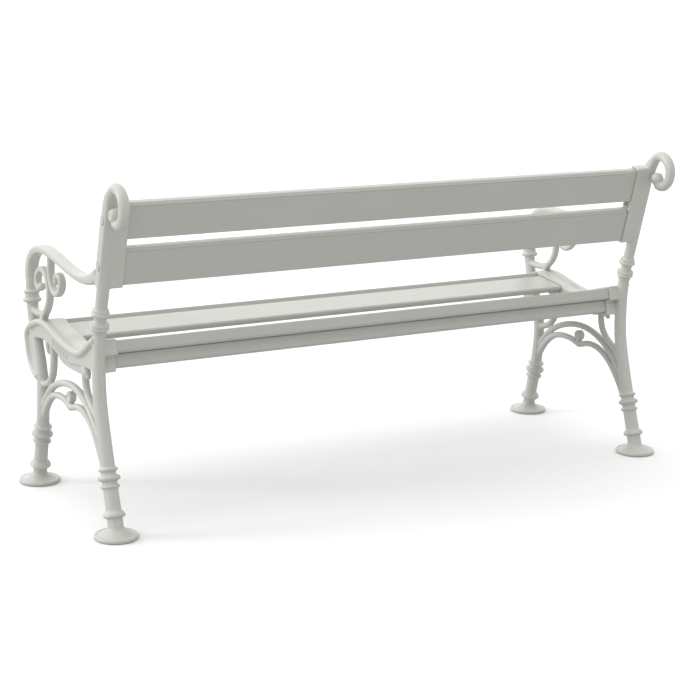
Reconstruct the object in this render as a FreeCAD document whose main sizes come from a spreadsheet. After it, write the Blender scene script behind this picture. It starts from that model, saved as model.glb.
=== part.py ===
import FreeCAD, Part
import math
import os
import Sketcher

# Garden bench for three people: two scrolled end frames joined by back and seat slats.
#
# X runs along the bench, +Y points to the back and +Z up. The sitter faces -Y. The origin lies on
# the ground under the middle of the whole bench. Lengths are in millimetres and angles in degrees.
# The outlines of an end frame are given as (y, z) in the frame's own coordinates: y from halfway
# between its two feet, and z from ground_offset below the ground.

Vector = FreeCAD.Vector

SIZES = {
    # whole bench
    "frame_spacing": 1460,
    "foot_spread": 474,
    "depth_offset": 18.6,
    "ground_offset": 8,
    # legs, posts and feet
    "leg_radius": 16.5,
    "foot_radius": 50,
    "foot_rim": 11,
    # turned rings
    "leg_ring_radius": 25.5,
    "leg_disc_radius": 22.5,
    "leg_ring_pitch": 19,
    "post_bead_radius": 21.5,
    "arm_ring_radius": 22.5,
    # thin members
    "arch_radius": 8.4,
    "curl_radius": 8.8,
    "rail_bead_radius": 8,
    "rosette_radius": 13.5,
    "rosette_width": 17,
    "rosette_dish": 16,
    "knob_radius": 10.5,
    "scroll_eye_radius": 16.2,
    "scroll_eye_dish": 16,
    "flute_radius": 5,
    "rib_radius": 1.6,
    # housings on the inner side of each end frame
    "housing_depth": 43,
    "pocket_floor": 17,
    "housing_wall": 3.4,
    "housing_rear_wall": 4,
    "pocket_play": 0.4,
    "housing_corner": 4,
    "housing_end": 5,
    "post_jacket": 14.5,
    "post_jacket_reach": 166,
    # slats
    "upper_back_slat_width": 84,
    "lower_back_slat_width": 87.5,
    "back_slat_thickness": 22,
    "back_slat_gap": 21.5,
    "back_lean": 15,
    "edge_slat_width": 80,
    "front_slat_thickness": 20,
    "rear_slat_thickness": 29,
    "wide_slat_width": 98,
    "wide_slat_thickness": 15.5,
    "rear_beam_width": 30,
    "rear_beam_thickness": 32,
    "slat_soft_radius": 5.5,
    "slat_crisp_radius": 2.5,
    "slat_full_radius": 8,
    "slat_wall": 3,
    "slat_end_play": 1,
    "top_bevel_height": 6.5,
    "top_bevel_depth": 4.5,
    "top_groove_radius": 0.9,
    "top_groove_drop": 7.8,
    # hidden metal and plugs
    "core_play": 0.3,
    "core_wall": 1.5,
    "core_margin": 12,
    "core_corner": 1,
    "plug_length": 40,
    "plug_play": 0.2,
    # screws
    "screw_radius": 2.5,
    "screw_head_radius": 5,
    "screw_head_height": 3,
    "back_screw_length": 46,
    "seat_screw_length": 14,
    "back_head_seat": 4,
    "seat_head_drop": 4,
    "seat_screw_inset": 30,
    "rear_screw_shift": -22,
    "screw_play": 0.3,
    "screw_slot": 1.1,
    "cap_radius": 8.5,
    "cap_rise": 1.2,
    "cap_length": 8.7,
    "cap_play": 0.15,
}

doc = FreeCAD.newDocument("GardenBench")
sheet = doc.addObject("Spreadsheet::Sheet", "Sizes")
for row, (alias, number) in enumerate(SIZES.items(), start=1):
    sheet.set(f"A{row}", alias)
    sheet.set(f"B{row}", str(number))
    sheet.setAlias(f"B{row}", alias)
doc.recompute()


def size(alias):
    """A driving dimension, read from the sheet."""
    return float(getattr(sheet, alias))


ALONG_BENCH = Vector(1, 0, 0)
HALF_SPACING = size("frame_spacing") / 2
REAR_FOOT = size("foot_spread") / 2
FRONT_FOOT = -size("foot_spread") / 2


# ---------------------------------------------------------------- slat places
# Each slat is placed by the (y, z) of the middle of its section and by the tilt of its width.

def slat_place(corner, tilt, width, thickness, corner_is_rear=True):
    """Middle of a slat whose upper face passes through corner with the given tilt."""
    across = (math.cos(math.radians(tilt)), math.sin(math.radians(tilt)))
    up = (-across[1], across[0])
    reach = -size(width) / 2 if corner_is_rear else size(width) / 2
    drop = size(thickness) / 2
    y = corner[0] + across[0] * reach - up[0] * drop
    z = corner[1] + across[1] * reach - up[1] * drop
    return (y, z, tilt)


def back_place(rise):
    """Middle of the back's thickness, at a distance up the lean from the lower slat's foot."""
    lean = math.radians(size("back_lean"))
    start = (189.9, 562.7)
    half = size("back_slat_thickness") / 2
    y = start[0] + rise * math.sin(lean) - half * math.cos(lean)
    z = start[1] + rise * math.cos(lean) + half * math.sin(lean)
    return (y, z, 90 - size("back_lean"))


LOWER_SLAT_RISE = size("lower_back_slat_width") / 2
UPPER_SLAT_FOOT = size("lower_back_slat_width") + size("back_slat_gap")
UPPER_SLAT_RISE = UPPER_SLAT_FOOT + size("upper_back_slat_width") / 2
BACK_REACH = UPPER_SLAT_FOOT + size("upper_back_slat_width")

# Corners of a slat's section as (side along its width, side along its thickness), and the radius
# of each. A seat slat's width runs to the rear and its thickness up; a back slat's width runs up
# and its thickness to the front.
CORNERS = ((-1, -1), (1, -1), (1, 1), (-1, 1))
SOFT = "slat_soft_radius"
CRISP = "slat_crisp_radius"
FULL = "slat_full_radius"

# Name: width, thickness, place and the four corner radii.
SLATS = {
    "back_slat_upper": (
        "upper_back_slat_width",
        "back_slat_thickness",
        back_place(UPPER_SLAT_RISE),
        (CRISP, CRISP, SOFT, SOFT),
    ),
    "back_slat_lower": (
        "lower_back_slat_width",
        "back_slat_thickness",
        back_place(LOWER_SLAT_RISE),
        (CRISP, CRISP, SOFT, SOFT),
    ),
    "seat_slat_front": (
        "edge_slat_width",
        "front_slat_thickness",
        slat_place((-163, 421.6), 20, "edge_slat_width", "front_slat_thickness"),
        (SOFT, SOFT, CRISP, SOFT),
    ),
    "seat_slat_middle": (
        "wide_slat_width",
        "wide_slat_thickness",
        slat_place((-147, 416), -7.7, "wide_slat_width", "wide_slat_thickness", False),
        (SOFT, SOFT, SOFT, SOFT),
    ),
    "seat_slat_lowest": (
        "wide_slat_width",
        "wide_slat_thickness",
        slat_place((-38, 387.3), 7, "wide_slat_width", "wide_slat_thickness", False),
        (SOFT, SOFT, SOFT, SOFT),
    ),
    "seat_slat_rear": (
        "edge_slat_width",
        "rear_slat_thickness",
        slat_place((147, 433), 16.5, "edge_slat_width", "rear_slat_thickness"),
        (SOFT, FULL, CRISP, SOFT),
    ),
    "seat_beam_rear": (
        "rear_beam_width",
        "rear_beam_thickness",
        slat_place((135, 398.9), 16.5, "rear_beam_width", "rear_beam_thickness"),
        (SOFT, FULL, CRISP, SOFT),
    ),
}
BACK_SLATS = ("back_slat_upper", "back_slat_lower")
SEAT_SLATS = tuple(name for name in SLATS if name not in BACK_SLATS)


def section_placement(place):
    """Placement that turns a section drawn flat, width along Y, into its slat's place."""
    y, z, tilt = place
    base = Vector(0, y - size("depth_offset"), z - size("ground_offset"))
    return FreeCAD.Placement(base, FreeCAD.Rotation(ALONG_BENCH, tilt))


def frame_section_placement(place):
    """The same place in an end frame's own coordinates."""
    y, z, tilt = place
    return FreeCAD.Placement(Vector(0, y, z), FreeCAD.Rotation(ALONG_BENCH, tilt))


# ---------------------------------------------------------------- curves and tubes

def strap_section():
    """Unit outline between a circle and a square, for members with flattened sides."""
    points = []
    for step in range(16):
        turn = math.pi * step / 8
        across = math.copysign(abs(math.cos(turn)) ** 0.6, math.cos(turn))
        inward = math.copysign(abs(math.sin(turn)) ** 0.6, math.sin(turn))
        points.append(Vector(across, inward, 0))
    curve = Part.BSplineCurve()
    curve.interpolate(Points=points, PeriodicFlag=True)
    return Part.Wire([curve.toShape()])


ROUND = Part.Wire([Part.makeCircle(1.0)])
STRAP = strap_section()


def placed_section(unit, middle, direction, half_x, half_in):
    """Unit section square to direction: half_x along the bench, half_in in the frame's plane."""
    side = direction.cross(ALONG_BENCH)
    matrix = FreeCAD.Matrix(
        half_x, half_in * side.x, direction.x, middle.x,
        0, half_in * side.y, direction.y, middle.y,
        0, half_in * side.z, direction.z, middle.z,
        0, 0, 0, 1,
    )
    return unit.transformGeometry(matrix)


def distances(points):
    """Distance along straight lines from the first point to each (y, z, ...) point."""
    total = [0.0]
    for first, second in zip(points, points[1:]):
        total.append(total[-1] + math.dist(first[:2], second[:2]))
    return total


def smooth_curve(points, x=0.0):
    """Smooth curve through (y, z, ...) points in the plane x; a fifth number shifts a point."""
    places = []
    for point in points:
        shift = point[4] if len(point) > 4 else 0
        places.append(Vector(x + shift, point[0], point[1]))
    curve = Part.BSplineCurve()
    curve.interpolate(Points=places, Parameters=distances(points))
    return curve


def tube(points, x=0.0, steps=3, unit=ROUND):
    """Solid bar along points (y, z, half width along X, half width in plane)."""
    curve = smooth_curve(points, x)
    knots = distances(points)
    wires = []
    for index in range(len(points) - 1):
        first = points[index]
        second = points[index + 1]
        last = index == len(points) - 2
        for step in range(steps + 1 if last else steps):
            share = step / steps
            at = knots[index] + (knots[index + 1] - knots[index]) * share
            half_x = first[2] + (second[2] - first[2]) * share
            half_in = first[3] + (second[3] - first[3]) * share
            direction = Vector(curve.tangent(at)[0])
            direction.normalize()
            wires.append(placed_section(unit, curve.value(at), direction, half_x, half_in))
    return Part.makeLoft(wires, True, False)


def even_tube(points, radius, x=0.0, flat=1.0, unit=ROUND):
    """Tube of one radius, flat times as wide along the bench."""
    return tube([(y, z, radius * flat, radius) for y, z in points], x, unit=unit)


def ball(y, z, radius, x=0.0):
    return Part.makeSphere(radius, Vector(x, y, z))


def turned(profile, y, z, lean):
    """Solid turned from (radius, height) points about an axis leaning back by lean degrees."""
    points = [Vector(0, radius, height) for radius, height in profile]
    face = Part.Face(Part.makePolygon(points + points[:1]))
    solid = face.revolve(Vector(0, 0, 0), Vector(0, 0, 1), 360)
    solid.rotate(Vector(0, 0, 0), ALONG_BENCH, -lean)
    solid.translate(Vector(0, y, z))
    return solid


def bead(y, z, lean, radius, thickness):
    """Turned ring with a full round rim."""
    half = thickness / 2
    reach = radius - half
    rim = Part.Arc(Vector(0, reach, -half), Vector(0, radius, 0), Vector(0, reach, half)).toShape()
    floor = Part.makeLine(Vector(0, 0, -half), Vector(0, reach, -half))
    roof = Part.makeLine(Vector(0, reach, half), Vector(0, 0, half))
    axis = Part.makeLine(Vector(0, 0, half), Vector(0, 0, -half))
    face = Part.Face(Part.Wire([floor, rim, roof, axis]))
    solid = face.revolve(Vector(0, 0, 0), Vector(0, 0, 1), 360)
    solid.rotate(Vector(0, 0, 0), ALONG_BENCH, -lean)
    solid.translate(Vector(0, y, z))
    return solid


def outline_wire(upper, lower, x):
    """Closed wire in the plane x from an upper and a lower smooth edge, both front to rear."""
    top = smooth_curve(upper, x).toShape()
    bottom = smooth_curve(lower, x).toShape()
    front = Part.makeLine(Vector(x, *lower[0]), Vector(x, *upper[0]))
    rear = Part.makeLine(Vector(x, *upper[-1]), Vector(x, *lower[-1]))
    return Part.Wire([top, rear, bottom, front])


# ---------------------------------------------------------------- end frame

def foot(y):
    """Round foot: a disc with a rolled rim, a groove inside it and a low cone under the leg."""
    radius = size("foot_radius")
    rim = size("foot_rim")
    neck = size("leg_radius") + 1.5
    profile = [
        (0, 0), (radius - 3, 0), (radius - 0.8, 1.4), (radius, 4), (radius - 0.6, rim - 3),
        (radius - 2.6, rim - 1), (radius - 5.2, rim - 0.6), (radius - 7.4, rim - 2.2),
        (radius - 9.5, rim - 1.8), (radius * 0.66, rim + 2), (radius * 0.47, rim + 7),
        (neck, rim + 11), (0, rim + 13),
    ]
    return turned(profile, y, size("ground_offset"), 0)


# Rear leg and post in one sweep: (y, z, half width along X, half width in plane).
REAR_POST = [
    (240, 12, 18, 18), (228.5, 52, 17.5, 17.5), (211, 104, 17, 17), (195.5, 152, 16.6, 16.6),
    (173, 228, 16, 16), (155.5, 300, 15.7, 15.7), (151.5, 370, 15.2, 15.2), (155, 430, 14.4, 14.4),
    (167.5, 498, 13.8, 13.6), (181.5, 550, 14.5, 13.2), (204, 650, 14, 12.5), (213, 690, 13, 11),
]

# Squared top of the post, from inside its jacket; a fifth number shifts a point outwards.
POST_HEAD = [
    (207, 672, 14, 12.5), (216, 704, 14.4, 14), (226, 731, 14.5, 15, 1), (235, 752, 14.3, 14, 2),
    (247, 770, 13.4, 11.5, 3),
]

# Round bar of the head scroll, from inside the post's top to the eye.
SCROLL = [
    (226, 731, 13.5, 12.5, 1), (235, 752, 13.5, 12.6, 2), (248, 771.5, 13.3, 12.6, 3),
    (269, 786.5, 13, 12.3, 3), (292, 782, 12.8, 12.3, 3), (307, 767.5, 12.6, 12.3, 3),
    (312, 748, 12.5, 12.3, 3), (307, 728, 12.2, 12, 3), (295, 715, 12, 11.6, 3),
    (280, 710.5, 11.5, 11, 3), (267, 713.5, 10.5, 10, 3), (260, 721, 7, 7, 3),
]
SCROLL_EYE = (264, 728.8)

FRONT_LEG = [
    (-237.5, 12, 17, 17), (-229.7, 53, 16.5, 16.5), (-212, 132, 16, 16), (-200.5, 210, 15, 15),
    (-202, 278, 14.2, 14.2), (-222, 340, 13.8, 13.8), (-247, 402, 13.8, 13.8),
    (-258, 462, 14, 14), (-259, 505, 14, 14), (-255, 532, 12.5, 12),
]
ARM = [
    (-259, 492, 12.5, 12), (-258, 522, 14.5, 13.5), (-249, 549, 15, 12.5), (-223, 575.5, 15, 11.2),
    (-180, 589, 15, 10.2), (-125, 589, 15, 9.6), (-50, 577.5, 15, 8.6), (20, 566.5, 15, 8.8),
    (75, 563, 15, 10.5), (125, 570, 14, 13), (163, 586, 12.5, 15.5),
]

UPPER_ARCH = [
    (-201, 190), (-178, 226), (-150, 255), (-100, 282), (-50, 295.5), (0, 298), (50, 288),
    (95, 266), (137, 232), (176, 184),
]
LOWER_ARCH = [
    (-207, 150), (-190, 188), (-160, 225), (-125, 248.5), (-75, 256.5), (-42, 253), (-17, 247),
    (12, 253.5), (45, 256), (80, 247), (115, 225.5), (150, 189), (186, 138),
]
REAR_BRACKET = [
    (70.5, 367), (71, 351), (72.5, 332), (81, 306), (99, 286.5), (128, 268), (160, 244),
]
FRONT_CURL = [
    (-190, 263), (-170, 267.5), (-150, 277.5), (-133, 295), (-124, 321), (-121.5, 345), (-125, 372),
]
ARM_STEM = [
    (-182, 412), (-176, 430), (-155, 451), (-141, 474), (-138, 496), (-145, 518), (-158, 534),
    (-176, 541.5), (-198, 536), (-214, 519), (-214, 501), (-203, 493), (-190, 499),
]
ARM_HOOK = [
    (-125, 586), (-128.5, 565), (-129.5, 542), (-124, 518), (-111, 502.5), (-93, 497), (-73, 505),
    (-61, 521), (-62, 536), (-74, 543.5), (-88, 539), (-91, 528),
]
ROSETTE = (-17, 271)
TIE_BAR = [(-262, 436), (-235, 431), (-205, 430), (-176, 436)]


def ornaments():
    """Arches, bracket, curls and rosette between the legs and under the arm."""
    arch = size("arch_radius")
    curl = size("curl_radius")
    pieces = [
        even_tube(UPPER_ARCH, arch, flat=1.1),
        even_tube(LOWER_ARCH, arch * 0.96, flat=1.1),
        even_tube(REAR_BRACKET, curl * 0.9, flat=1.1),
        even_tube(FRONT_CURL, curl * 0.95, flat=1.1),
        even_tube(ARM_STEM, curl * 0.8, flat=1.3, unit=STRAP),
        even_tube(ARM_HOOK, curl * 0.8, flat=1.3, unit=STRAP),
        even_tube(TIE_BAR, curl * 0.98, flat=1.05),
        ball(*FRONT_CURL[0], curl * 1.2),
        ball(*ARM_STEM[-1], curl * 1.1),
        ball(*ARM_HOOK[-1], curl * 1.05),
        ball(*TIE_BAR[0], curl * 1.15),
    ]
    bud = tube([(74, 368, 6, 5), (81, 360, 9.5, 8.5), (91, 349, 9.5, 8), (100, 339, 4, 3.5)], x=3)
    drop = tube([(-150, 378, 7, 6), (-147, 365, 8, 7), (-143, 353, 7, 6), (-141, 345, 3, 3)], x=3)
    width = size("rosette_width")
    dish = size("rosette_dish")
    start = Vector(-width / 2, *ROSETTE)
    rosette = Part.makeCylinder(size("rosette_radius"), width, start, ALONG_BENCH)
    rims = [edge for edge in rosette.Edges if len(edge.Vertexes) == 1]
    rosette = rosette.makeFillet(width / 10, rims)
    for side in (-1, 1):
        rosette = rosette.cut(ball(*ROSETTE, dish, x=side * (width / 2 + dish - 3.5)))
    knob = ball(ROSETTE[0], 248, size("knob_radius"))
    return pieces + [bud, drop, rosette, knob]


RAIL_BEAD = [
    (-207, 280), (-234, 296), (-252, 318), (-262, 346), (-266, 370), (-254, 387), (-226, 402.5),
    (-176, 416.5), (-134, 414.5), (-76, 401.5), (-24, 392), (32, 387.5), (66, 391), (99, 405.5),
    (128, 424.5), (158, 441),
]
RAIL_TOP_OUTER = [
    (-265, 372), (-226, 401), (-176, 415), (-134, 413), (-76, 400), (-24, 390.5), (32, 386),
    (66, 389.5), (99, 404), (128, 423), (158, 438),
]
RAIL_TOP_INNER = [
    (-262, 374), (-226, 402), (-182, 420), (-160, 425), (-138, 421), (-90, 412), (-52, 406.5),
    (-25, 400), (4, 399), (50, 410), (95, 423), (130, 433), (164, 441),
]
RAIL_FOOT_OUTER = [
    (-262, 350), (-226, 368), (-190, 374), (-150, 374), (-100, 364), (-50, 354), (0, 353),
    (30, 357.5), (60, 362), (100, 366), (130, 365), (160, 362),
]
RAIL_FOOT_INNER = [
    (-258, 352), (-226, 366), (-180, 380), (-140, 380), (-100, 371), (-50, 360), (0, 357),
    (50, 357), (92, 356), (120, 356.5), (150, 361.5), (164, 366),
]
RAIL_TOP_END = [(y, z - 1.2) for y, z in RAIL_TOP_INNER]
RAIL_FOOT_END = [(y, z + 1.2) for y, z in RAIL_FOOT_INNER]
WEB_TOP = [(-125, 387), (-90, 383), (-60, 378), (0, 372), (60, 372), (90, 374)]
WEB_FOOT = [
    (-122, 373), (-101, 361.5), (-90, 353.5), (-79, 348), (-62, 342), (-24, 338.5), (22, 338.5),
    (52, 340), (72, 347),
]
LEAF_FRONT = [(-266, 372), (-265.5, 352), (-260, 326), (-246, 304), (-226, 288), (-203, 276)]
LEAF_REAR = [(-222, 376), (-218, 350), (-212, 330), (-207, 312), (-203, 296), (-200, 272)]


def scroll_eye():
    """Ball in which the head scroll ends, dished on its outer side."""
    radius = size("scroll_eye_radius")
    dish = size("scroll_eye_dish")
    shift = SCROLL[-1][4]
    return ball(*SCROLL_EYE, radius, x=shift).cut(
        ball(*SCROLL_EYE, dish, x=shift + radius + dish - 5)
    )


def seat_rail():
    """Side rail of the seat: slat housing, edge bead, lower web and front leaf."""
    depth = size("housing_depth")
    corner = size("housing_corner")
    housing = Part.makeLoft(
        [
            outline_wire(RAIL_TOP_OUTER, RAIL_FOOT_OUTER, 9.5),
            outline_wire(RAIL_TOP_INNER, RAIL_FOOT_INNER, 3 - size("pocket_floor")),
            outline_wire(RAIL_TOP_INNER, RAIL_FOOT_INNER, corner + 1 - depth),
            outline_wire(RAIL_TOP_END, RAIL_FOOT_END, -depth),
        ],
        True,
        True,
    ).cut(housing_rear_cuts())
    web = Part.Face(outline_wire(WEB_TOP, WEB_FOOT, -6)).extrude(Vector(9.5, 0, 0))
    leaf = Part.Face(outline_wire(LEAF_FRONT, LEAF_REAR, -12)).extrude(Vector(23, 0, 0))
    edge = even_tube(RAIL_BEAD, size("rail_bead_radius"), x=11.5)
    tip = ball(*RAIL_BEAD[0], size("rail_bead_radius") * 0.99, x=11.5)
    return [housing, web, leaf, edge, tip] + rail_flutes() + rail_ribs()


def rail_flutes():
    """Fan of raised leaves on the outer face of the rail, under its edge bead."""
    wide = size("flute_radius")
    flutes = []
    for number in range(6):
        y = -100 + 17 * number
        top = 398 - 2.8 * number
        foot = 368 - 2.4 * number
        middle = (top + foot) / 2
        flutes.append(tube([
            (y + 4, top, wide * 0.7, wide * 0.9),
            (y, middle, wide, wide * 1.3),
            (y - 5, foot, wide * 0.4, wide * 0.5),
        ], x=8.5))
    return flutes


def sleeve_point(name, behind, height):
    """(y, z) at a distance behind a slat's rear face and at a height above its middle."""
    y, z, tilt = SLATS[name][2]
    across = size(SLATS[name][0]) / 2 + behind
    turn = math.radians(tilt)
    return (
        y + across * math.cos(turn) - height * math.sin(turn),
        z + across * math.sin(turn) + height * math.cos(turn),
    )


def housing_rear_cuts():
    """Trims the housing's rear to the tilted rear slat, and sets it back round the beam."""
    wall = size("housing_rear_wall")
    tilt = SLATS["seat_slat_rear"][2][2]
    reach = 2 * size("housing_depth")
    trim = Part.makeBox(2 * reach, reach, 2 * reach, Vector(-1.5 * reach, 0, -reach))
    trim.Placement = frame_section_placement((*sleeve_point("seat_slat_rear", wall, 0), tilt))
    step = Part.makeBox(2 * reach, reach, 2 * reach, Vector(-1.5 * reach, 0, -2 * reach))
    inner_edge = max(long_edges(step), key=lambda edge: edge.CenterOfMass.z - edge.CenterOfMass.y)
    step = step.makeFillet(size("housing_corner"), [inner_edge])
    # The beam touches the slat above it, and the slat's sleeve ends one wall below that.
    sleeve_foot = size("rear_beam_thickness") / 2 - size("housing_wall")
    corner = sleeve_point("seat_beam_rear", wall, sleeve_foot)
    step.Placement = frame_section_placement((*corner, tilt))
    return [trim, step]


def rail_ribs():
    """Fine ribs across the rear face of the slat housing."""
    length = size("housing_depth") - size("housing_corner") - 12
    rear_wall = size("housing_rear_wall") - 0.5
    ribs = []
    for name, height in (("seat_slat_rear", -12), ("seat_beam_rear", 3), ("seat_beam_rear", -9)):
        start = Vector(-12 - length, *sleeve_point(name, rear_wall, height))
        ribs.append(Part.makeCylinder(size("rib_radius"), length, start, ALONG_BENCH))
    return ribs


def long_edges(shape):
    """Straight edges along the bench."""
    return [edge for edge in shape.Edges if abs(edge.tangentAt(edge.FirstParameter).x) > 0.99]


def back_housing():
    """Upright box on the inner side of the post that holds the ends of the back slats."""
    inward = size("housing_depth")
    reach = BACK_REACH + 2 * size("housing_end")
    depth = size("back_slat_thickness") + 2 * size("housing_wall")
    box = Part.makeBox(inward, reach, depth, Vector(-inward, -reach / 2, -depth / 2))
    box = box.makeFillet(size("housing_corner"), long_edges(box))
    box.Placement = frame_section_placement(back_place(BACK_REACH / 2))
    return box


def post_jacket():
    """Squared part of the post beside the back slats, flush with their housing."""
    outward = size("post_jacket")
    reach = size("post_jacket_reach")
    depth = size("back_slat_thickness") + 2 * size("housing_wall")
    corner = Vector(-outward, -size("housing_end"), -depth / 2)
    box = Part.makeBox(2 * outward, reach, depth, corner)
    box = box.makeFillet(size("slat_soft_radius"), box.Edges)
    box.Placement = frame_section_placement(back_place(0))
    return box


def rounded_bar(start, length, width, depth, radii, play):
    """Bar along X from start, whose four long edges have the radii of a slat's corners."""
    block = Part.makeBox(length, width, depth, Vector(start, -width / 2, -depth / 2))
    for (side, level), radius in zip(CORNERS, radii):
        edge = max(
            long_edges(block),
            key=lambda item: side * item.CenterOfMass.y + level * item.CenterOfMass.z,
        )
        block = block.makeFillet(size(radius) + play, [edge])
    return block


def slat_pocket(name):
    """Space for one end of a slat, open towards the middle of the bench."""
    width, thickness, place, radii = SLATS[name]
    play = size("pocket_play")
    start = -size("housing_depth") - 10
    length = -size("pocket_floor") - start
    block = rounded_bar(
        start, length, size(width) + 2 * play, size(thickness) + 2 * play, radii, play
    )
    if name in BACK_SLATS:
        block = block.cut(bevel_prism(start, length, size(width) / 2 + play, size(thickness) / 2 + play))
    block.Placement = frame_section_placement(place)
    return block


def bevel_prism(start, length, half_width, half_depth):
    """What a back slat's bevel takes from the upper rear edge of a bar along X from start."""
    corners = [
        Vector(start, half_width, -half_depth),
        Vector(start, half_width, size("top_bevel_depth") - half_depth),
        Vector(start, half_width - size("top_bevel_height"), -half_depth),
    ]
    return Part.Face(Part.makePolygon(corners + corners[:1])).extrude(ALONG_BENCH * length)


def frame_openings():
    """Everything cut from an end frame: slat pockets, the recess between them, screw holes."""
    cuts = [slat_pocket(name) for name in SLATS]
    gap = size("back_slat_gap") - 5
    across = size("back_slat_thickness") - 1
    start = -size("housing_depth") - 10
    recess = Part.makeBox(22, gap, across, Vector(start, -gap / 2, -across / 2))
    middle_of_gap = size("lower_back_slat_width") + size("back_slat_gap") / 2
    recess.Placement = frame_section_placement(back_place(middle_of_gap))
    cuts.append(recess)
    hole = size("screw_radius") + size("screw_play")
    head = size("screw_head_radius") + size("screw_play")
    for name in BACK_SLATS:
        y, z = SLATS[name][2][:2]
        inner = Vector(-size("pocket_floor") - 5, y, z)
        outer = Vector(size("back_head_seat"), y, z)
        cap = size("cap_radius") + size("cap_play")
        cuts.append(Part.makeCylinder(hole, 60, inner, ALONG_BENCH))
        cuts.append(Part.makeCylinder(cap, 30, outer, ALONG_BENCH))
    for name in SEAT_SLATS:
        middle, up, half = seat_screw_line(name)
        under = middle - up * (half - 1)
        below = middle - up * (half + size("seat_head_drop"))
        cuts.append(Part.makeCylinder(hole, 40, under, up * -1))
        cuts.append(Part.makeCylinder(head, 40, below, up * -1))
    return cuts


def seat_screw_shift(name):
    """How far a seat screw stands from the middle of its slat's width, to clear the beam."""
    return size("rear_screw_shift") if name == "seat_slat_rear" else 0.0


def seat_screw_line(name):
    """Where a seat screw crosses its slat's middle, its upward direction and half the slat."""
    y, z, tilt = SLATS[name][2]
    across = Vector(0, math.cos(math.radians(tilt)), math.sin(math.radians(tilt)))
    up = Vector(0, -across.z, across.y)
    middle = Vector(-size("seat_screw_inset"), y, z) + across * seat_screw_shift(name)
    return middle, up, size(SLATS[name][1]) / 2


def end_frame():
    """One end frame as a single moulding, its outer side towards +X, centred on x = 0."""
    leg_lean = -16.3
    front_lean = 12.5
    pieces = [tube(REAR_POST), tube(POST_HEAD, unit=STRAP), tube(SCROLL), scroll_eye()]
    pieces.append(tube(FRONT_LEG, steps=2))
    pieces.append(tube(ARM, unit=STRAP))
    pieces.append(foot(REAR_FOOT))
    pieces.append(foot(FRONT_FOOT))
    pieces.extend(ornaments())
    pieces.extend(seat_rail())
    pieces.append(back_housing())
    pieces.append(post_jacket())

    ring_radius = size("leg_ring_radius")
    disc_radius = size("leg_disc_radius")
    pitch = size("leg_ring_pitch")
    drum_radius = size("leg_radius") + 2.5
    for y, z, low_y, low_z, lean in (
        (200.6, 136, 226.8, 57, leg_lean),
        (-211.4, 135, -229.7, 54, front_lean),
    ):
        direction = (math.sin(math.radians(lean)), math.cos(math.radians(lean)))
        pieces.append(bead(low_y, low_z, lean, ring_radius, 9))
        low_disc = (low_y + direction[0] * 6, low_z + direction[1] * 6)
        pieces.append(bead(*low_disc, lean, disc_radius, 5))
        pieces.append(bead(y, z, lean, ring_radius, 12))
        pieces.append(bead(y, z, lean, drum_radius, 2 * pitch - 2))
        for side in (-1, 1):
            disc_y = y + direction[0] * pitch * side
            disc_z = z + direction[1] * pitch * side
            pieces.append(bead(disc_y, disc_z, lean, disc_radius, 7))
    post_bead = size("post_bead_radius")
    arm_ring = size("arm_ring_radius")
    for y, z, lean, radius, thickness in (
        (168.5, 508.5, 13, post_bead - 2.5, 6),
        (166.5, 500, 13, post_bead, 9.5),
        (161.5, 475.5, 12, post_bead, 8),
        (159.8, 467, 12, post_bead, 8),
        (157.5, 457.5, 11, post_bead - 4.5, 6),
        (-257.5, 455, -6, arm_ring, 11),
        (-258.6, 465.5, -5, arm_ring - 4.5, 7),
        (-259, 475, -4, arm_ring - 2, 7),
    ):
        pieces.append(bead(y, z, lean, radius, thickness))

    moulding = pieces[0].multiFuse(pieces[1:]).cut(frame_openings())
    if len(moulding.Solids) != 1:
        raise RuntimeError(f"the end frame came out as {len(moulding.Solids)} solids")
    return moulding.Solids[0]


def add_shape(name, shape, placement=None):
    """A part whose shape is worked out above, with its Placement set after its Shape."""
    part = doc.addObject("Part::Feature", name)
    part.Label = name
    part.Shape = shape
    if placement is not None:
        part.Placement = placement
    return part


# ---------------------------------------------------------------- slats, cores and plugs

def origin_plane(body, role):
    return next(item for item in body.Origin.OriginFeatures if item.Role == role)


def add_rectangle(sketch, name, width, height):
    """Rectangle about the sketch's origin, its two sides bound to expressions."""
    corners = [Vector(-10, -5), Vector(10, -5), Vector(10, 5), Vector(-10, 5)]
    first = sketch.GeometryCount
    for index in range(4):
        sketch.addGeometry(Part.LineSegment(corners[index], corners[(index + 1) % 4]))
    for index in range(4):
        following = first + (index + 1) % 4
        sketch.addConstraint(Sketcher.Constraint("Coincident", first + index, 2, following, 1))
        kind = "Vertical" if index % 2 else "Horizontal"
        sketch.addConstraint(Sketcher.Constraint(kind, first + index))
    sketch.addConstraint(Sketcher.Constraint("Symmetric", first, 1, first + 1, 2, -1, 1))
    for label, kind, line, expression in (
        ("width", "DistanceX", first, width),
        ("height", "DistanceY", first + 1, height),
    ):
        number = sketch.addConstraint(Sketcher.Constraint(kind, line, 1, line, 2, 10))
        sketch.renameConstraint(number, f"{name}_{label}")
        sketch.setExpression(f"Constraints.{name}_{label}", expression)


def corner_edge_name(feature, side, level):
    """Name of the feature's edge along the bench that lies furthest towards a corner."""
    def reach(numbered):
        middle = numbered[1].CenterOfMass
        return side * middle.y + level * middle.z

    along = [
        (number, edge) for number, edge in enumerate(feature.Shape.Edges, start=1)
        if abs(edge.tangentAt(edge.FirstParameter).x) > 0.99
    ]
    return f"Edge{max(along, key=reach)[0]}"


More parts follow.
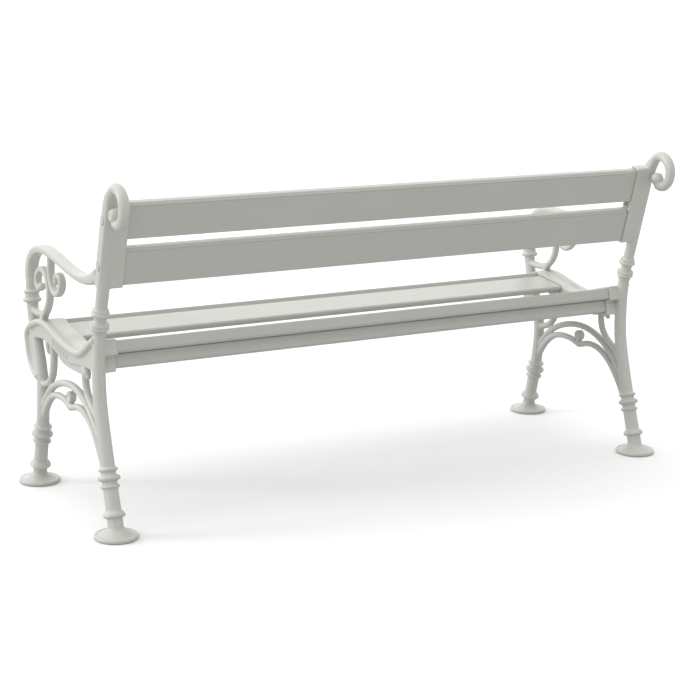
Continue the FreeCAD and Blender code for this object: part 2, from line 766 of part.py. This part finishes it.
def add_extrusion(name, width, height, wall, length, radii, placement):
    """Hollow rectangular bar along X with four corner radii, as a PartDesign body."""
    body = doc.addObject("PartDesign::Body", name)
    body.Label = name
    sketch = body.newObject("Sketcher::SketchObject", f"{name}_section")
    sketch.AttachmentSupport = [(origin_plane(body, "YZ_Plane"), "")]
    sketch.MapMode = "FlatFace"
    add_rectangle(sketch, "outer", width, height)
    pad = body.newObject("PartDesign::Pad", f"{name}_pad")
    pad.Profile = sketch
    pad.SideType = "Symmetric"
    pad.setExpression("Length", length)
    doc.recompute()
    previous = pad
    for number, (corner, radius) in enumerate(zip(CORNERS, radii), start=1):
        fillet = body.newObject("PartDesign::Fillet", f"{name}_corner_{number}")
        fillet.Base = (previous, [corner_edge_name(previous, *corner)])
        fillet.setExpression("Radius", f"Sizes.{radius}")
        doc.recompute()
        previous = fillet
    bore = body.newObject("Sketcher::SketchObject", f"{name}_bore_section")
    bore.AttachmentSupport = [(origin_plane(body, "YZ_Plane"), "")]
    bore.MapMode = "FlatFace"
    add_rectangle(bore, "inner", f"{width} - 2 * {wall}", f"{height} - 2 * {wall}")
    pocket = body.newObject("PartDesign::Pocket", f"{name}_bore")
    pocket.Profile = bore
    pocket.SideType = "Symmetric"
    pocket.setExpression("Length", f"{length} + 10")
    body.Placement = placement
    doc.recompute()
    return body


SLAT_LENGTH = "(Sizes.frame_spacing - 2 * Sizes.pocket_floor - 2 * Sizes.slat_end_play)"


def add_slat(name):
    """Hollow slat; a back slat has a bevelled top, a seat slat two screw holes in its underside."""
    width, thickness, place, radii = SLATS[name]
    slat = add_extrusion(
        name, f"Sizes.{width}", f"Sizes.{thickness}", "Sizes.slat_wall", SLAT_LENGTH,
        radii, section_placement(place),
    )
    if name in SEAT_SLATS:
        add_screw_holes(slat, name, f"Sizes.{thickness}")
    else:
        add_top_bevel(slat, name, f"Sizes.{width}", f"Sizes.{thickness}")
    return slat


def add_top_bevel(body, name, width, thickness):
    """Sloping edge along the upper rear of a back slat, with a fine groove under it."""
    sketch = body.newObject("Sketcher::SketchObject", f"{name}_bevel_section")
    sketch.AttachmentSupport = [(origin_plane(body, "YZ_Plane"), "")]
    sketch.MapMode = "FlatFace"
    corners = [Vector(42, -11, 0), Vector(42, -6, 0), Vector(32, -11, 0)]
    places = (
        (f"{width} / 2", f"-{thickness} / 2"),
        (f"{width} / 2", f"Sizes.top_bevel_depth - {thickness} / 2"),
        (f"{width} / 2 - Sizes.top_bevel_height", f"-{thickness} / 2"),
    )
    for index in range(3):
        sketch.addGeometry(Part.LineSegment(corners[index], corners[(index + 1) % 3]))
    for index, corner in enumerate(corners):
        sketch.addConstraint(Sketcher.Constraint("Coincident", index, 2, (index + 1) % 3, 1))
        bind_point(sketch, index, 1, corner, places[index])
    middle = Vector(30, -11, 0)
    groove = sketch.addGeometry(Part.Circle(middle, Vector(0, 0, 1), 1))
    radius = sketch.addConstraint(Sketcher.Constraint("Radius", groove, 1))
    sketch.setExpression(f"Constraints[{radius}]", "Sizes.top_groove_radius")
    bind_point(sketch, groove, 3, middle, (
        f"{width} / 2 - Sizes.top_groove_drop", f"-{thickness} / 2",
    ))
    cut = body.newObject("PartDesign::Pocket", f"{name}_bevel")
    cut.Profile = sketch
    cut.SideType = "Symmetric"
    cut.setExpression("Length", f"{SLAT_LENGTH} + 10")
    doc.recompute()


def bind_point(sketch, line, point, start, expressions):
    """Ties a sketch point's distances from the origin, drawn first at start, to expressions."""
    for kind, number, expression in zip(("DistanceX", "DistanceY"), start, expressions):
        tie = sketch.addConstraint(Sketcher.Constraint(kind, -1, 1, line, point, number))
        sketch.setExpression(f"Constraints[{tie}]", expression)


def add_screw_holes(body, name, thickness):
    """Two round pockets through the underside of a seat slat, one near each end."""
    sketch = body.newObject("Sketcher::SketchObject", f"{name}_screw_holes")
    sketch.AttachmentSupport = [(origin_plane(body, "XY_Plane"), "")]
    sketch.MapMode = "FlatFace"
    inset = "(Sizes.frame_spacing / 2 - Sizes.seat_screw_inset)"
    for end, sign in enumerate(("", "-")):
        middle = Vector(100 - 200 * end, 0, 0)
        circle = sketch.addGeometry(Part.Circle(middle, Vector(0, 0, 1), 3))
        radius = sketch.addConstraint(Sketcher.Constraint("Radius", circle, 3))
        sketch.setExpression(f"Constraints[{radius}]", "Sizes.screw_radius + Sizes.screw_play")
        if seat_screw_shift(name):
            across = sketch.addConstraint(Sketcher.Constraint("DistanceY", -1, 1, circle, 3, -1))
            sketch.setExpression(f"Constraints[{across}]", "Sizes.rear_screw_shift")
        else:
            sketch.addConstraint(Sketcher.Constraint("PointOnObject", circle, 3, -1))
        along = sketch.addConstraint(Sketcher.Constraint("DistanceX", -1, 1, circle, 3, middle.x))
        sketch.setExpression(f"Constraints[{along}]", f"{sign}{inset}")
    holes = body.newObject("PartDesign::Pocket", f"{name}_screw_pockets")
    holes.Profile = sketch
    holes.setExpression("Length", f"{thickness}")
    doc.recompute()


def add_core(name):
    """Flat metal tube inside a slat, between its two end plugs."""
    thickness, place = SLATS[name][1:3]
    inside = f"(Sizes.{thickness} - 2 * Sizes.slat_wall - 2 * Sizes.core_play)"
    share = 1.9 if name != "seat_beam_rear" else 0.85
    length = f"({SLAT_LENGTH} - 2 * Sizes.plug_length - 2 * Sizes.core_margin)"
    return add_extrusion(
        f"{name}_core", f"{share} * {inside}", inside, "Sizes.core_wall", length,
        ["core_corner"] * 4, section_placement(place),
    )


def plug_shape(name):
    """Plug in one end of a slat, in the end frame's coordinates, with its screw's pilot hole."""
    width, thickness, place = SLATS[name][:3]
    wall = size("slat_wall") + size("plug_play")
    across = size(width) - 2 * wall
    depth = size(thickness) - 2 * wall
    length = size("plug_length")
    start = -size("pocket_floor") - size("slat_end_play") - length
    plug = Part.makeBox(length, across, depth, Vector(start, -across / 2, -depth / 2))
    pilot = size("screw_radius")
    if name in BACK_SLATS:
        plug = plug.cut(Part.makeCylinder(pilot, length + 2, Vector(start - 1, 0, 0), ALONG_BENCH))
    else:
        below = Vector(-size("seat_screw_inset"), seat_screw_shift(name), -depth)
        plug = plug.cut(Part.makeCylinder(pilot, 2 * depth, below))
    plug.Placement = frame_section_placement(place)
    return plug


def screw_shape(length):
    """Pan-head screw along +Z from the underside of its head, with a cross recess."""
    radius = size("screw_radius")
    head_radius = size("screw_head_radius")
    head_height = size("screw_head_height")
    shank = Part.makeCylinder(radius, length - radius)
    tip = Part.makeCone(radius, 0.4, radius, Vector(0, 0, length - radius))
    head = Part.makeCylinder(head_radius, head_height, Vector(0, 0, -head_height))
    rims = [edge for edge in head.Edges if edge.isClosed() and edge.BoundBox.ZMax < -1]
    head = head.makeFillet(head_height * 0.6, rims)
    screw = shank.multiFuse([tip, head])
    slot = size("screw_slot")
    for turn in (0, 90):
        corner = Vector(-radius, -slot / 2, -head_height - 0.5)
        bar = Part.makeBox(2 * radius, slot, 2, corner)
        bar.rotate(Vector(0, 0, 0), Vector(0, 0, 1), turn)
        screw = screw.cut(bar)
    return screw


def back_screws():
    """Screws that go through the post into the ends of the back slats."""
    group = []
    for name in BACK_SLATS:
        y, z = SLATS[name][2][:2]
        screw = screw_shape(size("back_screw_length"))
        screw.rotate(Vector(0, 0, 0), Vector(0, 1, 0), -90)
        screw.translate(Vector(size("back_head_seat"), y, z))
        group.append(screw)
    return group


def seat_screws():
    """Screws that go up through the rail housing into the ends of the seat slats."""
    group = []
    for name in SEAT_SLATS:
        middle, up, half = seat_screw_line(name)
        screw = screw_shape(size("seat_screw_length"))
        screw.rotate(Vector(0, 0, 0), ALONG_BENCH, SLATS[name][2][2])
        screw.translate(middle - up * (half + size("seat_head_drop")))
        group.append(screw)
    return group


def screw_caps():
    """Low push-in caps that hide the back screws on the outer side of the post."""
    group = []
    radius = size("cap_radius")
    for name in BACK_SLATS:
        y, z = SLATS[name][2][:2]
        start = size("back_head_seat") + size("screw_head_height") + size("screw_play")
        cap = Part.makeCylinder(radius, size("cap_length"), Vector(start, y, z), ALONG_BENCH)
        rims = [edge for edge in cap.Edges if edge.isClosed() and edge.BoundBox.XMin > start + 1]
        group.append(cap.makeFillet(size("cap_rise"), rims))
    return group


def add_pair(name, solids):
    """The same group of solids at both ends of the bench, as two nodes."""
    group = Part.makeCompound(solids)
    mirrored = group.mirror(Vector(0, 0, 0), ALONG_BENCH)
    return [
        add_shape(f"{name}_left", group, end_placement(1)),
        add_shape(f"{name}_right", mirrored, end_placement(-1)),
    ]


def end_placement(side):
    """Place of an end frame: side is +1 at the sitter's left end, -1 at the other."""
    base = Vector(side * HALF_SPACING, -size("depth_offset"), -size("ground_offset"))
    return FreeCAD.Placement(base, FreeCAD.Rotation())


nodes = add_pair("end_frame", [end_frame()])
nodes.extend(add_slat(name) for name in SLATS)
nodes.extend(add_core(name) for name in SLATS)
nodes.extend(add_pair("slat_end_plugs", [plug_shape(name) for name in SLATS]))
nodes.extend(add_pair("back_slat_screws", back_screws()))
nodes.extend(add_pair("seat_slat_screws", seat_screws()))
nodes.extend(add_pair("screw_caps", screw_caps()))
doc.recompute()

for item in doc.Objects:
    if "Invalid" in item.State or "Error" in item.State:
        raise RuntimeError(f"{item.Label} failed: {item.State}")
for node in nodes:
    if node.Shape.isNull() or not node.Shape.isValid() or not node.Shape.Solids:
        raise RuntimeError(f"{node.Label} has no good shape")

os.makedirs("parts", exist_ok=True)
for node in nodes:
    node.Shape.exportStep(f"parts/{node.Label}.step")
    print(node.Label, len(node.Shape.Solids), round(node.Shape.Volume / 1000, 1), "cm3")
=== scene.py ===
import math

import bmesh
import bpy
from mathutils import Matrix, Vector


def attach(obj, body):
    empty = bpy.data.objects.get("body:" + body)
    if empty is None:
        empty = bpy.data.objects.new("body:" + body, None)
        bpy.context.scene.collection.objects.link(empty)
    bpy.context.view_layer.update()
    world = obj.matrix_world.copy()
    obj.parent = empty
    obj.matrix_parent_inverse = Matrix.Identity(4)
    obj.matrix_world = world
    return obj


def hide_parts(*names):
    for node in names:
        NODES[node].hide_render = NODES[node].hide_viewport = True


# Looks of the garden bench. Everything is in metres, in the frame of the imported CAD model:
# X along the bench, +Y to the back, +Z up.

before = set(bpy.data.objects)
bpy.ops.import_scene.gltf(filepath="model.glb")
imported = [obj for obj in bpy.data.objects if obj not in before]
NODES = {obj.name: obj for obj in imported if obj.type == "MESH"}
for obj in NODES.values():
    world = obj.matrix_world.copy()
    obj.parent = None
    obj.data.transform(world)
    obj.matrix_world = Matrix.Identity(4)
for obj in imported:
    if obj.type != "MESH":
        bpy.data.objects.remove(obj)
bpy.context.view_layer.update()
SCENE = bpy.context.scene

# ---------------------------------------------------------------- node helpers

# Sockets of the Mix node that carry colours; it has others of the same names for numbers.
COLOUR_INPUTS = (6, 7)
COLOUR_OUTPUT = 2


class Graph:
    """Small helper that adds nodes to a material or world and links them."""

    def __init__(self, owner):
        owner.use_nodes = True
        self.tree = owner.node_tree
        self.tree.nodes.clear()

    def node(self, kind, **settings):
        made = self.tree.nodes.new(kind)
        for key, value in settings.items():
            setattr(made, key, value)
        return made

    def link(self, source, target):
        self.tree.links.new(source, target)

    def noise(self, vector, scale, detail=3.0, roughness=0.5):
        """Soft noise from about 0.3 to 0.7."""
        made = self.node("ShaderNodeTexNoise")
        made.inputs["Scale"].default_value = scale
        made.inputs["Detail"].default_value = detail
        made.inputs["Roughness"].default_value = roughness
        self.link(vector, made.inputs["Vector"])
        return made.outputs["Fac"]

    def stretch(self, vector, scale):
        made = self.node("ShaderNodeMapping")
        made.inputs["Scale"].default_value = scale
        self.link(vector, made.inputs["Vector"])
        return made.outputs["Vector"]

    def ranged(self, value, low, high, start=0.3, end=0.7):
        """value from start..end becomes low..high."""
        made = self.node("ShaderNodeMapRange")
        for name, number in (
            ("From Min", start), ("From Max", end), ("To Min", low), ("To Max", high),
        ):
            made.inputs[name].default_value = number
        self.link(value, made.inputs["Value"])
        return made.outputs["Result"]

    def mix(self, share, first, second):
        """Colour from first (share 0) to second (share 1)."""
        made = self.node("ShaderNodeMix", data_type="RGBA")
        self.link(share, made.inputs["Factor"])
        for slot, colour in zip(COLOUR_INPUTS, (first, second)):
            if isinstance(colour, tuple):
                made.inputs[slot].default_value = (*colour, 1.0)
            else:
                self.link(colour, made.inputs[slot])
        return made.outputs[COLOUR_OUTPUT]

    def bump(self, height, strength, distance, normal=None):
        made = self.node("ShaderNodeBump")
        made.inputs["Strength"].default_value = strength
        made.inputs["Distance"].default_value = distance
        self.link(height, made.inputs["Height"])
        if normal is not None:
            self.link(normal, made.inputs["Normal"])
        return made.outputs["Normal"]


def finish_material(graph, colour, roughness, normal, **values):
    """Ends a material's graph in one Principled shader. values are set on its own sockets."""
    shader = graph.node("ShaderNodeBsdfPrincipled")
    graph.link(colour, shader.inputs["Base Color"])
    graph.link(roughness, shader.inputs["Roughness"])
    graph.link(normal, shader.inputs["Normal"])
    for key, number in values.items():
        shader.inputs[key.replace("_", " ")].default_value = number
    output = graph.node("ShaderNodeOutputMaterial")
    graph.link(shader.outputs["BSDF"], output.inputs["Surface"])


def new_graph(name):
    """New material, its graph, and the place on the piece that its patterns follow."""
    material = bpy.data.materials.new(name)
    graph = Graph(material)
    place = graph.node("ShaderNodeTexCoord").outputs["Object"]
    return material, graph, place


# ---------------------------------------------------------------- materials

# The scale of a noise is its number of cells per metre, and a bump's distance is in metres.

WARM_WHITE = (0.58, 0.58, 0.54)
DULL_WHITE = (0.55, 0.55, 0.51)
SLAT_WHITE = (0.535, 0.535, 0.50)
SLAT_DULL = (0.51, 0.51, 0.475)
FRAME_DUST = (0.52, 0.515, 0.475)
SLAT_LINE = (0.49, 0.49, 0.455)
PLUG_GREY = (0.30, 0.30, 0.30)
PLUG_DARK = (0.24, 0.24, 0.245)
ALUMINIUM_LIGHT = (0.78, 0.79, 0.80)
ALUMINIUM_DARK = (0.66, 0.67, 0.68)
ZINC_LIGHT = (0.68, 0.68, 0.70)
ZINC_DARK = (0.55, 0.55, 0.57)

# Drawing lines are noise pressed together across the piece and left long along X.
RESIN_LINES = (1.2, 60.0, 60.0)
METAL_LINES = (3.0, 400.0, 400.0)


def moulded_resin():
    """Satin moulded resin of the end frames: soft waves, faint orange peel, dust specks scattered
    at random.
    """
    material, graph, place = new_graph("moulded_resin")
    cloud = graph.ranged(graph.noise(place, 9.0, 4.0), 0.0, 0.55)
    colour = graph.mix(cloud, WARM_WHITE, DULL_WHITE)
    speck = graph.ranged(graph.noise(place, 420.0, 2.0), 0.0, 0.25, 0.55, 0.8)
    colour = graph.mix(speck, colour, FRAME_DUST)
    rough = graph.ranged(graph.noise(place, 30.0, 5.0), 0.27, 0.40)
    wave = graph.bump(graph.noise(place, 55.0, 2.0), 0.25, 0.0012)
    peel = graph.bump(graph.noise(place, 900.0, 2.0), 0.12, 0.0004, wave)
    finish_material(graph, colour, rough, peel)
    return material


def extruded_resin():
    """Satin extruded resin of the slats: fine drawing lines along their length."""
    material, graph, place = new_graph("extruded_resin")
    along = graph.stretch(place, RESIN_LINES)
    cloud = graph.ranged(graph.noise(place, 5.0, 4.0), 0.0, 0.6)
    colour = graph.mix(cloud, SLAT_WHITE, SLAT_DULL)
    line = graph.noise(along, 5.0, 4.0)
    colour = graph.mix(graph.ranged(line, 0.0, 0.22), colour, SLAT_LINE)
    rough = graph.ranged(line, 0.26, 0.38)
    drawn = graph.bump(line, 0.10, 0.0004)
    peel = graph.bump(graph.noise(place, 700.0, 2.0), 0.10, 0.0003, drawn)
    finish_material(graph, colour, rough, peel)
    return material


def cap_resin():
    """Small satin caps, a shade cleaner than the moulding round them."""
    material, graph, place = new_graph("cap_resin")
    colour = graph.mix(graph.ranged(graph.noise(place, 160.0), 0.0, 1.0), WARM_WHITE, DULL_WHITE)
    rough = graph.ranged(graph.noise(place, 300.0), 0.24, 0.34)
    peel = graph.bump(graph.noise(place, 1200.0), 0.10, 0.0003)
    finish_material(graph, colour, rough, peel)
    return material


def plug_resin():
    """Matte grey plugs inside the slat ends."""
    material, graph, place = new_graph("plug_resin")
    colour = graph.mix(graph.ranged(graph.noise(place, 90.0), 0.0, 1.0), PLUG_GREY, PLUG_DARK)
    rough = graph.ranged(graph.noise(place, 200.0), 0.55, 0.7)
    grain = graph.bump(graph.noise(place, 800.0), 0.2, 0.0004)
    finish_material(graph, colour, rough, grain)
    return material


def drawn_metal(name, light, dark, low, high):
    """Metal with fine lines along X. low and high are the range of its roughness."""
    material, graph, place = new_graph(name)
    line = graph.noise(graph.stretch(place, METAL_LINES), 2.0, 3.0)
    colour = graph.mix(graph.ranged(line, 0.0, 1.0), light, dark)
    rough = graph.ranged(line, low, high)
    normal = graph.bump(line, 0.15, 0.0002)
    finish_material(graph, colour, rough, normal, Metallic=1.0)
    return material


MOULDED = moulded_resin()
EXTRUDED = extruded_resin()
CAP = cap_resin()
PLUG = plug_resin()
CORE = drawn_metal("core_aluminium", ALUMINIUM_LIGHT, ALUMINIUM_DARK, 0.3, 0.45)
SCREW = drawn_metal("screw_zinc", ZINC_LIGHT, ZINC_DARK, 0.25, 0.4)


def cover(piece, material):
    """Gives the whole piece one material."""
    piece.data.materials.clear()
    piece.data.materials.append(material)


def smooth_shading(mesh):
    """Shades every face of the mesh as part of one smooth surface."""
    for face in mesh.polygons:
        face.use_smooth = True


for name, node in NODES.items():
    if name.endswith("_core"):
        cover(node, CORE)
    elif "plugs" in name:
        cover(node, PLUG)
    elif "screws" in name:
        cover(node, SCREW)
    elif "caps" in name:
        cover(node, CAP)
    else:
        cover(node, EXTRUDED)

# ---------------------------------------------------------------- end frames

# In metres: the grid that the surface is remeshed on, and how close vertices are to be welded.
VOXEL = 0.0018
WELD_DISTANCE = 1e-6
SMOOTH_SHARE = 0.5
SMOOTH_ROUNDS = 4


def show_moulded_copy(node_name, piece_name):
    """Shows a copy of an end frame, whose members run softly into each other as in a moulding."""
    source = NODES[node_name]
    piece = bpy.data.objects.new(piece_name, source.data.copy())
    SCENE.collection.objects.link(piece)
    welded = bmesh.new()
    welded.from_mesh(piece.data)
    bmesh.ops.remove_doubles(welded, verts=welded.verts, dist=WELD_DISTANCE)
    welded.to_mesh(piece.data)
    welded.free()
    remesh = piece.modifiers.new("even_mesh", "REMESH")
    remesh.mode = "VOXEL"
    remesh.voxel_size = VOXEL
    soften = piece.modifiers.new("soften", "SMOOTH")
    soften.factor = SMOOTH_SHARE
    soften.iterations = SMOOTH_ROUNDS
    depsgraph = bpy.context.evaluated_depsgraph_get()
    made = bpy.data.meshes.new_from_object(piece.evaluated_get(depsgraph))
    piece.modifiers.clear()
    piece.data = made
    cover(piece, MOULDED)
    smooth_shading(made)
    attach(piece, "root")
    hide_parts(node_name)


for side in ("left", "right"):
    show_moulded_copy(f"end_frame_{side}", f"moulded_end_frame_{side}")

# ---------------------------------------------------------------- floor, light and camera

FLOOR_WHITE = (0.96, 0.96, 0.96)
FLOOR_BOUNCE = (0.54, 0.54, 0.54)
FLOOR_REACH = 60.0


def add_floor():
    """Plain pale floor, far wider than the view."""
    mesh = bpy.data.meshes.new("floor")
    signs = ((-1, -1), (1, -1), (1, 1), (-1, 1))
    corners = [(x * FLOOR_REACH, y * FLOOR_REACH, 0) for x, y in signs]
    mesh.from_pydata(corners, [], [(0, 1, 2, 3)])
    floor = bpy.data.objects.new("floor", mesh)
    SCENE.collection.objects.link(floor)
    material = bpy.data.materials.new("floor_white")
    graph = Graph(material)
    # The eye sees a white floor, but the floor throws less light up at the bench, as in a studio
    # where the light comes from soft boxes rather than from a white ground.
    seen = graph.node("ShaderNodeLightPath").outputs["Is Camera Ray"]
    shader = graph.node("ShaderNodeBsdfPrincipled")
    graph.link(graph.mix(seen, FLOOR_BOUNCE, FLOOR_WHITE), shader.inputs["Base Color"])
    shader.inputs["Roughness"].default_value = 0.9
    shader.inputs["Specular IOR Level"].default_value = 0.0
    output = graph.node("ShaderNodeOutputMaterial")
    graph.link(shader.outputs["BSDF"], output.inputs["Surface"])
    mesh.materials.append(material)


LIGHT_FROM = Vector((0.15, -0.64, 0.72)).normalized()
# Strength of the surroundings away from LIGHT_FROM, towards it, and as the camera sees them.
GLOW_BEHIND = 0.93
GLOW_AHEAD = 1.90
BACKDROP = 1.05


def add_world():
    """White surroundings for the eye, and light from all round that grows towards LIGHT_FROM."""
    world = bpy.data.worlds.new("studio")
    SCENE.world = world
    graph = Graph(world)
    direction = graph.node("ShaderNodeTexCoord").outputs["Generated"]
    towards = graph.node("ShaderNodeVectorMath", operation="DOT_PRODUCT")
    graph.link(direction, towards.inputs[0])
    towards.inputs[1].default_value = LIGHT_FROM
    glow = graph.ranged(towards.outputs["Value"], GLOW_BEHIND, GLOW_AHEAD, 0.0, 1.0)
    soft = graph.node("ShaderNodeBackground")
    graph.link(glow, soft.inputs["Strength"])
    seen = graph.node("ShaderNodeBackground")
    seen.inputs["Color"].default_value = (1, 1, 1, 1)
    seen.inputs["Strength"].default_value = BACKDROP
    path = graph.node("ShaderNodeLightPath")
    both = graph.node("ShaderNodeMixShader")
    graph.link(path.outputs["Is Camera Ray"], both.inputs["Fac"])
    graph.link(soft.outputs["Background"], both.inputs[1])
    graph.link(seen.outputs["Background"], both.inputs[2])
    output = graph.node("ShaderNodeOutputWorld")
    graph.link(both.outputs["Shader"], output.inputs["Surface"])


# Energy, apparent size in degrees, and where each light stands, seen from the bench. The first
# is on the sitter's left, a little in front, and gives the bright edges. The second is faint,
# high up behind the back.
SUNS = {
    "side": (0.9, 16, (0.85, -0.42, 0.32)),
    "top": (0.10, 36, (0.10, 0.42, 0.90)),
}


def add_soft_sun(name, energy, degrees, direction):
    """Sun of the given apparent size that shines from a direction."""
    light = bpy.data.lights.new(name, "SUN")
    light.energy = energy
    light.angle = math.radians(degrees)
    lamp = bpy.data.objects.new(name, light)
    SCENE.collection.objects.link(lamp)
    lamp.rotation_mode = "QUATERNION"
    lamp.rotation_quaternion = Vector(direction).to_track_quat("Z", "Y")


# Place in metres and turn in degrees.
CAMERA_PLACE = (2.1619, 3.6502, 1.2876)
CAMERA_YAW = -120.4455
CAMERA_PITCH = -12.9845
CAMERA_ROLL = 0.8818
SENSOR_MM = 36.0
LENS_MM = 90.92


def add_camera():
    """Camera behind the bench on the sitter's left, a little above it, with a slight roll."""
    yaw = math.radians(CAMERA_YAW)
    pitch = math.radians(CAMERA_PITCH)
    roll = math.radians(CAMERA_ROLL)
    ahead = Vector((
        math.cos(pitch) * math.cos(yaw), math.cos(pitch) * math.sin(yaw), math.sin(pitch),
    ))
    level = ahead.cross(Vector((0, 0, 1))).normalized()
    upright = level.cross(ahead)
    right = level * math.cos(roll) + upright * math.sin(roll)
    up = upright * math.cos(roll) - level * math.sin(roll)
    data = bpy.data.cameras.new("camera")
    data.sensor_width = SENSOR_MM
    data.lens = LENS_MM
    data.clip_start = 0.05
    data.clip_end = 200.0
    camera = bpy.data.objects.new("camera", data)
    SCENE.collection.objects.link(camera)
    turn = Matrix((right, up, -ahead)).transposed().to_4x4()
    camera.matrix_world = Matrix.Translation(CAMERA_PLACE) @ turn
    SCENE.camera = camera


add_floor()
add_world()
for name, (energy, degrees, direction) in SUNS.items():
    add_soft_sun(name, energy, degrees, direction)
add_camera()
SCENE.view_settings.view_transform = "Standard"
SCENE.view_settings.look = "None"
